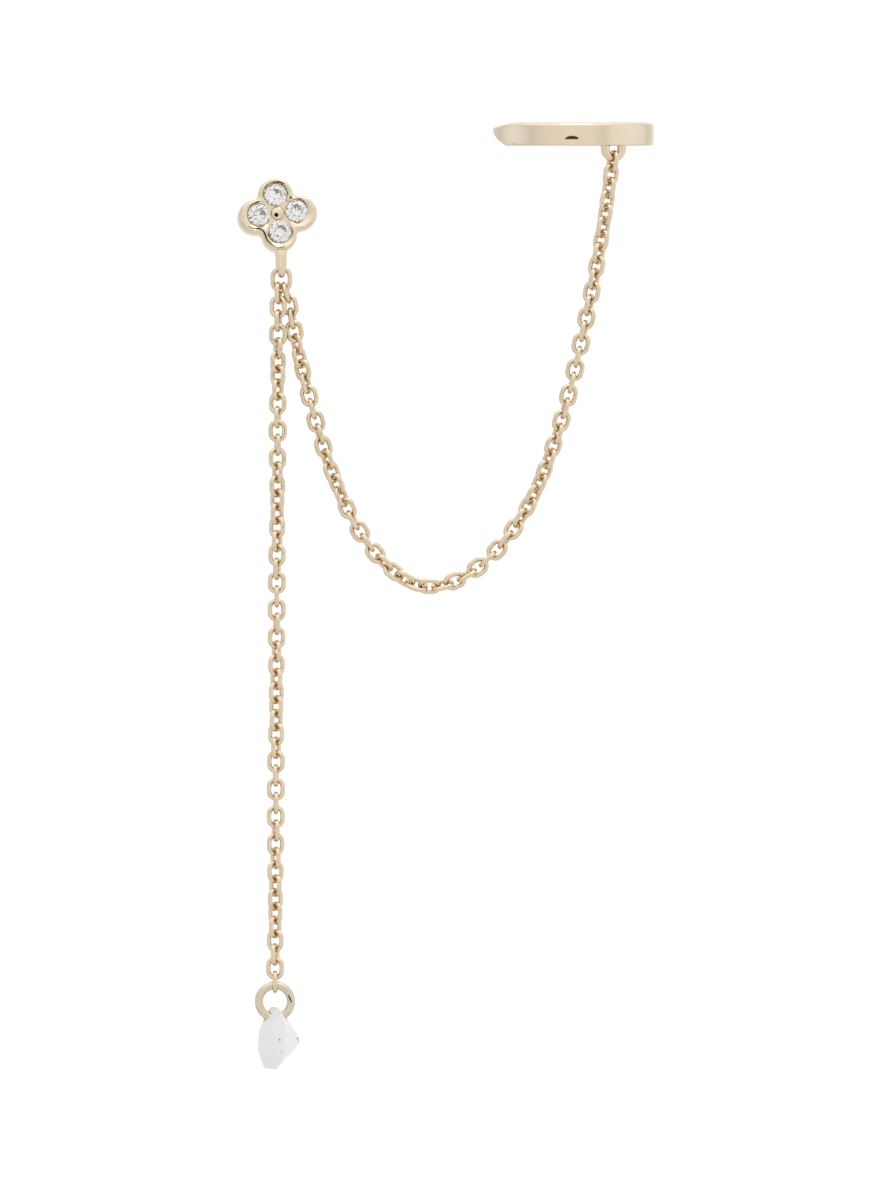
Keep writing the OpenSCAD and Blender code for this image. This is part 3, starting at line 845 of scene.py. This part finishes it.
def brilliant():
    """A round brilliant about its girdle: table, stars, kites, halves and pavilion mains."""
    crown = stone_r * CROWN_SHARE
    pavilion = stone_r * PAVILION_SHARE
    girdle_t = GIRDLE_SHARE * stone_r
    mid_facet = math.cos(math.pi / 8)
    way_out = (STAR_R * mid_facet - TABLE_R) / (1 - TABLE_R)
    star_h = girdle_t + (crown - girdle_t) * (1 - way_out)
    lower_z = -pavilion * (1 - LOWER_R * mid_facet)

    def ring(count, radius, height, shift):
        turns = [2 * math.pi * (k + shift) / count for k in range(count)]
        return [(stone_r * radius * math.cos(a), stone_r * radius * math.sin(a), height) for a in turns]

    table = ring(8, TABLE_R, crown, 0)
    star = ring(8, STAR_R, star_h, 0.5)
    upper = ring(16, 1, girdle_t, 0)
    under = ring(16, 1, -girdle_t, 0)
    lower = ring(8, LOWER_R, lower_z, 0.5)
    points = table + star + upper + under + lower + [(0, 0, -pavilion)]
    t, s, u, d, w, culet = 0, 8, 16, 32, 48, 56
    faces = [tuple(range(8))]
    for k in range(8):
        following = (k + 1) % 8
        before = (k - 1) % 8
        main, half, next_main = 2 * k, 2 * k + 1, (2 * k + 2) % 16
        faces += [
            (t + k, s + k, t + following),
            (t + k, s + before, u + main, s + k),
            (s + k, u + main, u + half),
            (s + k, u + half, u + next_main),
            (w + k, d + half, d + main),
            (w + k, d + next_main, d + half),
            (culet, w + before, d + main, w + k),
        ]
    faces += [(u + k, d + k, d + (k + 1) % 16, u + (k + 1) % 16) for k in range(16)]
    return np.array(points), faces


# Name, way out from the middle, how far the stone is turned in its seat and how far it leans
STONES = [("top", 90, 30, 2.5), ("left", 180, 95, 3), ("right", 0, 200, 3), ("bottom", 270, 320, 2)]

for stone_name, stone_angle, stone_turn, stone_lean in STONES:
    def in_seat(points, stone_angle=stone_angle, stone_turn=stone_turn, stone_lean=stone_lean):
        seated = rolled(turned(points, stone_lean, 2, 0), stone_turn)
        return in_well(rolled(seated + np.array([stone_at, 0, girdle_h]), stone_angle))

    make_piece(
        "brilliant_" + stone_name, [moved(brilliant(), in_seat)], STONE_WHITE, "earring",
        ["stone_" + stone_name], sharp_over=1,
    )


# Jump rings


def oval(width, height, wire, bend_steps, side_steps):
    """Points and outward ways of an oval wire's middle line, standing up in the x and z plane."""
    bend = (width - wire) / 2
    side = (height - width) / 2
    path = []
    normals = []
    for end in (0, 1):
        for k in range(bend_steps + 1):
            a = math.pi * (end + k / bend_steps)
            out = np.array([math.cos(a), 0, math.sin(a)])
            path.append(bend * out + np.array([0, 0, side * (1 - 2 * end)]))
            normals.append(out)
        for k in range(1, side_steps):
            x = -bend * (1 - 2 * end)
            path.append(np.array([x, 0, side * (1 - 2 * end) * (1 - 2 * k / side_steps)]))
            normals.append(np.array([math.copysign(1, x), 0, 0]))
    return path, normals


top_ring_at = node_middle("top_ring")
ring_path, ring_normals = oval(TOP_RING_W, TOP_RING_H, TOP_RING_WIRE, 32, 4)
make_piece(
    "top_jump_ring",
    [moved(sweep(ring_path, ring_normals, circle(TOP_RING_WIRE / 2, 24)), lambda p: p + top_ring_at)],
    GOLD_WIRE_SHADED, "earring", ["top_ring"],
)

drop_ring_at = node_middle("drop_ring")
drop_bend = (DROP_RING_D - DROP_RING_WIRE) / 2


def round_ring(bend, wire, steps, sides):
    """A round ring standing up in the x and z plane."""
    turns = np.linspace(0, 2 * math.pi, steps, endpoint=False)
    normals = [np.array([math.cos(a), 0, math.sin(a)]) for a in turns]
    return sweep([bend * out for out in normals], normals, circle(wire / 2, sides))


# The drop ring's slanted seam, a flush dark strip painted as the shade in its gap, from its upper to its
# lower end about the ring's middle
SEAM_SHADE_FROM = np.array([0.99, 0.50])
SEAM_SHADE_TO = np.array([1.25, -0.10])
SEAM_SHADE_HALF_W = 0.055


def ring_front(x, z):
    """How far the drop ring's wire stands out in front of its middle plane."""
    away = math.hypot(x, z) - drop_bend
    return math.sqrt((DROP_RING_WIRE / 2) ** 2 - away**2)


def to_front(points):
    """From a layout seen from the front to the drop ring's place."""
    return drop_ring_at + points[:, [0, 2, 1]] * np.array([1, -1, 1])


make_piece(
    "drop_jump_ring",
    [
        moved(round_ring(drop_bend, DROP_RING_WIRE, 160, 40), lambda p: p + drop_ring_at),
        moved(shade_line_part(SEAM_SHADE_HALF_W, [SEAM_SHADE_FROM, SEAM_SHADE_TO], ring_front), to_front),
    ],
    GOLD_RING_SHADED, "pendant", ["drop_ring"],
)


# Chains

WELD = 1e-6


def loose_solids(node):
    """Corner points of each closed solid in a CAD node, in millimetres."""
    shape = bmesh.new()
    shape.from_mesh(frame["nodes"][node].data)
    bmesh.ops.remove_doubles(shape, verts=shape.verts, dist=WELD)
    seen = set()
    solids = []
    for start in shape.verts:
        if start in seen:
            continue
        stack = [start]
        seen.add(start)
        corners = []
        while stack:
            corner = stack.pop()
            corners.append(tuple(corner.co))
            for edge in corner.link_edges:
                other = edge.other_vert(corner)
                if other not in seen:
                    seen.add(other)
                    stack.append(other)
        solids.append(np.array(corners) / MM)
    shape.free()
    return solids


link_path, link_normals = oval(LINK_W, LINK_LEN, LINK_WIRE, 16, 3)
LINK_PART = sweep(link_path, link_normals, circle(LINK_WIRE / 2, 14))


def chain_piece(name, node):
    """Every link of a CAD chain, drawn round and smooth in the CAD link's own place."""
    parts = []
    for corners in loose_solids(node):
        centre = corners.mean(axis=0)
        _, ways = np.linalg.eigh(np.cov((corners - centre).T))
        through, wide, along = ways[:, 0], ways[:, 1], ways[:, 2]
        axes = np.array([wide, through, along])
        parts.append((LINK_PART[0] @ axes + centre, LINK_PART[1]))
    return make_piece(name, parts, GOLD_WIRE_SHADED, "earring", [node])


chain_piece("drop_strand", "drop_chain")
chain_piece("linking_strand", "link_chain")


# Ear cuff

cuff_low, cuff_high = node_box("ear_cuff")
cuff_r = CUFF_D / 2
cuff_at = np.array([cuff_high[0] - cuff_r, (cuff_low[1] + cuff_high[1]) / 2, cuff_high[2] - CUFF_H / 2])

# Arms: how much wider the opening is than its angle, the least height of a tip, and the stretch
# that is drawn in finer steps
TIP_PLAY = 0.3
TIP_LEAST_H = 0.02
ARM_ANGLE = 60

# Edges of the opening: distance from its middle, then the edge's height as a share of half the band's
tip_y = cuff_r * math.sin(math.radians(TIP_ANGLE / 2))
UPPER_EDGE = [
    (tip_y, 0.57),
    (2.1, 0.66),
    (2.75, 0.75),
    (3.84, 0.95),
    (4.52, 1.0),
]
LOWER_EDGE = [(tip_y, 0.05), (2.47, -0.42), (cuff_r * math.sin(math.radians(FOOT_ANGLE / 2)), -1.0)]


def edge_height(edge, y):
    """Height of the band's edge at a distance from the middle of the opening."""
    return CUFF_H / 2 * np.interp(abs(y), [row[0] for row in edge], [row[1] for row in edge])


def band_section(height, middle, steps=8):
    """(radius, height) round the band's section, for a band of some height about a middle."""
    inner = cuff_r - CUFF_T
    shrink = min(1, 2 * height / CUFF_H)
    inner_edge = (CUFF_INNER_R, CUFF_INNER_R)
    corners = [
        (CUFF_TOP_EDGE, True, 0),
        (inner_edge, False, 90),
        (inner_edge, False, 180),
        (CUFF_FOOT_EDGE, True, 270),
    ]
    pairs = []
    for edge, outside, start in corners:
        deep, tall = edge[0] * shrink, edge[1] * shrink
        r = cuff_r - deep if outside else inner + deep
        z = height / 2 - tall if start < 180 else tall - height / 2
        for k in range(steps + 1):
            a = math.radians(start + 90 * k / steps)
            pairs.append((r + deep * math.cos(a), z + tall * math.sin(a)))
    top = height / 2 - CUFF_TOP_EDGE[1] * shrink
    foot = CUFF_FOOT_EDGE[1] * shrink - height / 2
    pairs += [(cuff_r, foot + (top - foot) * k / 10) for k in range(1, 10)]
    rows = []
    for r, z in pairs:
        up = middle + z
        if r > inner + CUFF_T / 2:
            r -= CUFF_FACE_R - math.sqrt(CUFF_FACE_R**2 - up**2)
        rows.append((r, up))
    return rows


def cuff_part():
    """The open band: whole at the right, tapering to its two slanted tips at the left."""
    tip = math.radians(TIP_ANGLE / 2 + TIP_PLAY)
    near = tip + np.linspace(0, 1, 90) ** 1.5 * math.radians(ARM_ANGLE)
    far = 2 * math.pi - near
    turns = np.concatenate([near, np.linspace(near[-1], far[-1], 180)[1:-1], far[::-1]])
    rings = []
    for a in turns:
        y = cuff_r * math.sin(a)
        left = math.cos(a) > 0
        high = edge_height(UPPER_EDGE, y) if left else CUFF_H / 2
        low = edge_height(LOWER_EDGE, y) if left else -CUFF_H / 2
        height = max(high - low, TIP_LEAST_H)
        middle = (high + low) / 2
        rings.append([(-r * math.cos(a), r * math.sin(a), z) for r, z in band_section(height, middle)])
    return skin(rings, np.mean(rings[0], axis=0), np.mean(rings[-1], axis=0))


loop_bend = (LOOP_HOLE + LOOP_WIRE) / 2
loop_turn = math.radians(LOOP_ANGLE)
band_r = cuff_r - CUFF_T / 2
loop_at = np.array([
    cuff_at[0] + band_r * math.sin(loop_turn),
    cuff_at[1] - band_r * math.cos(loop_turn),
    cuff_low[2] + loop_bend + LOOP_WIRE / 2,
])
# How much thicker the loop's legs are than its bend
LOOP_LEG_EXTRA = 0.09


def loop_part():
    """The loop under the cuff: its legs are thicker than its bend."""
    steps = 96
    sides = 28
    outer = loop_bend + LOOP_WIRE / 2
    c, s = math.cos(loop_turn), math.sin(loop_turn)
    rings = []
    for a in np.linspace(0, 2 * math.pi, steps, endpoint=False):
        half = LOOP_WIRE / 2 + LOOP_LEG_EXTRA * math.cos(a) ** 4
        rows = []
        for t in np.linspace(0, 2 * math.pi, sides, endpoint=False):
            r = outer - half + half * math.cos(t)
            side = LOOP_WIRE / 2 * math.sin(t)
            across = r * math.cos(a)
            rows.append((across * c - side * s, across * s + side * c, r * math.sin(a)))
        rings.append(rows)
    return np.array([p for ring in rings for p in ring]), tube_faces(steps, sides, closed=True)


cuff_band = moved(cuff_part(), lambda p: p + cuff_at)
make_piece("cuff_band", [cuff_band], GOLD_BAND, "earring", ["ear_cuff"])
make_piece("cuff_loop", [moved(loop_part(), lambda p: p + loop_at)], GOLD_WIRE_SHADED, "earring")


# Drop stone

# Outline of the pear from its tip down: share of the length, share of the half width
PEAR_ROWS = [
    (0, 0.22), (0.07, 0.46), (0.21, 0.77), (0.37, 0.94),
    (0.57, 1), (0.74, 0.95), (0.88, 0.74), (1, 0.40),
]
# Its facets: table, stars' tips and lower halves' tips, as shares of the outline, rise and depth
TABLE_SHARE = 0.62
STAR_SHARE = 0.82
STAR_RISE = 0.58
LOWER_SHARE = 0.47
LOWER_DEPTH = 0.58


def pear_cut():
    """The pear-cut stone, table up, with its culet under the origin."""
    half = [(share * PEAR_W / 2, (CULET_SHARE - down) * PEAR_L) for down, share in PEAR_ROWS]
    outline = [(-x, y) for x, y in half] + [(x, y) for x, y in reversed(half)]
    count = len(outline)
    face = PEAR_GIRDLE / 2

    def ring(picks, share, height):
        return [(outline[k][0] * share, outline[k][1] * share, height) for k in picks]

    evens = range(0, count, 2)
    odds = range(1, count, 2)
    halves = count // 2
    points = ring(evens, TABLE_SHARE, face + PEAR_CROWN)
    points += ring(odds, STAR_SHARE, face + PEAR_CROWN * STAR_RISE)
    points += ring(range(count), 1, face)
    points += ring(range(count), 1, -face)
    points += ring(odds, LOWER_SHARE, -face - PEAR_DEPTH * LOWER_DEPTH)
    points.append((0, 0, -face - PEAR_DEPTH))
    t, s, u = 0, halves, 2 * halves
    d = u + count
    w = d + count
    culet = w + halves
    faces = [tuple(range(halves))]
    for k in range(halves):
        following = (k + 1) % halves
        before = (k - 1) % halves
        main, between, next_main = 2 * k, 2 * k + 1, (2 * k + 2) % count
        faces += [
            (t + k, s + k, t + following),
            (t + k, s + before, u + main),
            (t + k, u + main, s + k),
            (s + k, u + main, u + between),
            (s + k, u + between, u + next_main),
            (w + k, d + between, d + main),
            (w + k, d + next_main, d + between),
            (culet, w + before, d + main),
            (culet, d + main, w + k),
        ]
    faces += [(u + k, d + k, d + (k + 1) % count, u + (k + 1) % count) for k in range(count)]
    return np.array(points), faces


ring_foot = drop_ring_at - np.array([0, 0, drop_bend])


def on_ring(points):
    """From the stone's table-up layout to its place on the drop ring's wire."""
    wire_up = CULET_SHARE * PEAR_L - DRILL_DEPTH
    points = points + np.array([0, -wire_up, DRILL_SHARE * PEAR_DEPTH])
    points = turned(points, 90, 1, 2)
    points = turned(points, -PEAR_TURN, 0, 1)
    points = turned(points, -PEAR_LEAN, 0, 2)
    return points + ring_foot


pear = make_piece(
    "pear_stone", [moved(pear_cut(), on_ring)], STONE_PEAR, "pendant", ["drop_stone"], sharp_over=1
)


def drill(piece):
    """Cuts the hole for the ring's wire through a stone's tip."""
    up = (DRILL_D - DROP_RING_WIRE) / 2 + DRILL_RISE
    half_length = PEAR_W
    section = circle(DRILL_D / 2, 48)
    rings = [[(x, u, up + v) for u, v in section] for x in (-half_length, half_length)]
    points, faces = skin(rings, (-half_length, 0, up), (half_length, 0, up))
    cutter = bpy.data.objects.new("drill", solid_mesh("drill", points + ring_foot, faces))
    bpy.context.scene.collection.objects.link(cutter)
    cut = piece.modifiers.new("hole", "BOOLEAN")
    cut.operation = "DIFFERENCE"
    cut.solver = "EXACT"
    cut.object = cutter
    bpy.context.view_layer.update()
    evaluated = piece.evaluated_get(bpy.context.evaluated_depsgraph_get())
    drilled = bpy.data.meshes.new_from_object(evaluated)
    piece.modifiers.clear()
    piece.data = drilled
    bpy.data.objects.remove(cutter)


drill(pear)


# Camera, at the photograph's view: level with the cuff, which shows edge on, and with a long lens


def photo_point(pixel_x, pixel_y):
    """Place across and up in the frame, in millimetres, that shows at a pixel of the photograph."""
    return (pixel_x - ORIGIN_PIXEL[0]) / PIXELS_PER_MM, (ORIGIN_PIXEL[1] - pixel_y) / PIXELS_PER_MM


camera_data = bpy.data.cameras.new("camera")
camera_data.sensor_width = 36
camera_data.lens = camera_data.sensor_width * CAMERA_BACK / (PHOTO_H / PIXELS_PER_MM)
camera_data.clip_start = 0.05
camera_data.clip_end = 20
camera = bpy.data.objects.new("camera", camera_data)
look_down = math.asin(CAMERA_RAISE / CAMERA_BACK)
aim_x, aim_z = photo_point(PHOTO_W / 2, PHOTO_H / 2)
camera_at = (aim_x, -CAMERA_BACK * math.cos(look_down), aim_z + CAMERA_RAISE)
camera.location = [c * MM for c in camera_at]
camera.rotation_euler = (math.radians(90) - look_down, 0, 0)
bpy.context.scene.collection.objects.link(camera)
bpy.context.scene.camera = camera


# Studio: white surround, pale floor and one soft lamp

WORLD_STRENGTH = 1.06
FLOOR_Z = -75
FLOOR_SIZE = 6000


def stage_piece(name, corners, material):
    """A flat piece of the studio through some corners, in millimetres."""
    mesh = bpy.data.meshes.new(name)
    places = [tuple(c * MM for c in corner) for corner in corners]
    mesh.from_pydata(places, [], [tuple(range(len(places)))])
    mesh.materials.append(material)
    thing = bpy.data.objects.new(name, mesh)
    bpy.context.scene.collection.objects.link(thing)
    return thing


half_floor = FLOOR_SIZE / 2
floor_white = plain_material("floor_white", (0.84, 0.84, 0.84), 0.9, 0.09)
floor_corners = [(x * half_floor, y * half_floor, FLOOR_Z) for x, y in ((-1, -1), (1, -1), (1, 1), (-1, 1))]
floor = stage_piece("floor", floor_corners, floor_white)
# The polished metal mirrors the tent all round, so no horizon crosses it
floor.visible_glossy = False

# Dark port in the white tent: a low arch that the polished metal mirrors, on the cuff as an almond
PORT_BACK = 250
PORT_HALF_W = 43
PORT_TOP = -5
PORT_FOOT = -27
PORT_AT = 22
# Dark lens in front, which only the stones show, as their dark facets
LENS_AT = (8, -420, -20)
LENS_R = 88

PORT_BLACK = plain_material("port_black", (0.12, 0.045, 0.022), 0.9, 0)


def dark_piece(name, middle, half_w, height, turns, mirrored):
    """A dark flat shape, a round or half-round one, that the camera and the shadows leave out."""
    x, y, z = middle
    outline = [(x + half_w * math.cos(a), y, z + height * math.sin(a)) for a in turns]
    thing = stage_piece(name, outline, PORT_BLACK)
    thing.visible_camera = False
    thing.visible_diffuse = False
    thing.visible_shadow = False
    thing.visible_glossy = mirrored


arch = np.linspace(0, math.pi, 24)
dark_piece("dark_port", (PORT_AT, -PORT_BACK, PORT_FOOT), PORT_HALF_W, PORT_TOP - PORT_FOOT, arch, True)

# The tent's brightness from its left to its right, from the ground up, and from the front to the rear
TENT_SIDES = [
    (0.0, (0.98, 1.05, 1.12)), (0.07, (0.80, 0.825, 0.86)), (0.20, (0.95, 0.95, 0.95)),
    (0.5, (1.0, 1.0, 1.0)), (0.74, (0.98, 0.98, 0.98)), (0.86, (0.85, 0.88, 0.885)),
    (0.93, (1.01, 1.03, 1.06)), (1.0, (1.05, 1.09, 1.15)),
]
TENT_RISE = [(0.0, 0.9), (0.45, 1), (0.64, 1), (0.80, 1.16), (0.92, 1.34)]
TENT_REAR = [(0.62, 1), (0.8, 0.94), (0.95, 0.92), (0.99, 1)]


def white_surround():
    """A white tent, a little darker where two of its seams stand and towards the ground."""
    world = bpy.data.worlds.new("surround")
    bpy.context.scene.world = world
    world.use_nodes = True
    nodes = world.node_tree.nodes
    links = world.node_tree.links
    background = nodes["Background"]
    background.inputs["Strength"].default_value = WORLD_STRENGTH
    split = nodes.new("ShaderNodeSeparateXYZ")
    links.new(nodes.new("ShaderNodeTexCoord").outputs["Generated"], split.inputs["Vector"])
    colour = ramp(nodes, links, signed(nodes, links, split.outputs["X"]), TENT_SIDES)
    for axis, rows in (("Z", TENT_RISE), ("Y", TENT_REAR)):
        factor = ramp(nodes, links, signed(nodes, links, split.outputs[axis]), greys(rows))
        colour = product(nodes, links, colour, factor)
    links.new(colour, background.inputs["Color"])


white_surround()

# Lamp: its place, the point that it is aimed at, its size, and how many times as bright as the tent it is
LAMP_AT = (27, -17, 66)
LAMP_AIM = (22, -6, 6)
LAMP_SIZE = 28
LAMP_BRIGHTNESS = 2.2


def soft_light(name, place, target, size, brightness):
    """A square soft light, in millimetres, aimed at a point."""
    data = bpy.data.lights.new(name, "AREA")
    data.shape = "SQUARE"
    data.size = size * MM
    data.energy = brightness * math.pi * (size * MM) ** 2
    light = bpy.data.objects.new(name, data)
    light.location = [c * MM for c in place]
    aim = Vector(target) - Vector(place)
    light.rotation_mode = "QUATERNION"
    light.rotation_quaternion = aim.to_track_quat("-Z", "Y")
    bpy.context.scene.collection.objects.link(light)


soft_light("top", LAMP_AT, LAMP_AIM, LAMP_SIZE, LAMP_BRIGHTNESS)
dark_piece("dark_lens", LENS_AT, LENS_R, LENS_R, np.linspace(0, 2 * math.pi, 48, endpoint=False), False)

scene = bpy.context.scene
scene.view_settings.view_transform = "Standard"
scene.view_settings.look = "None"
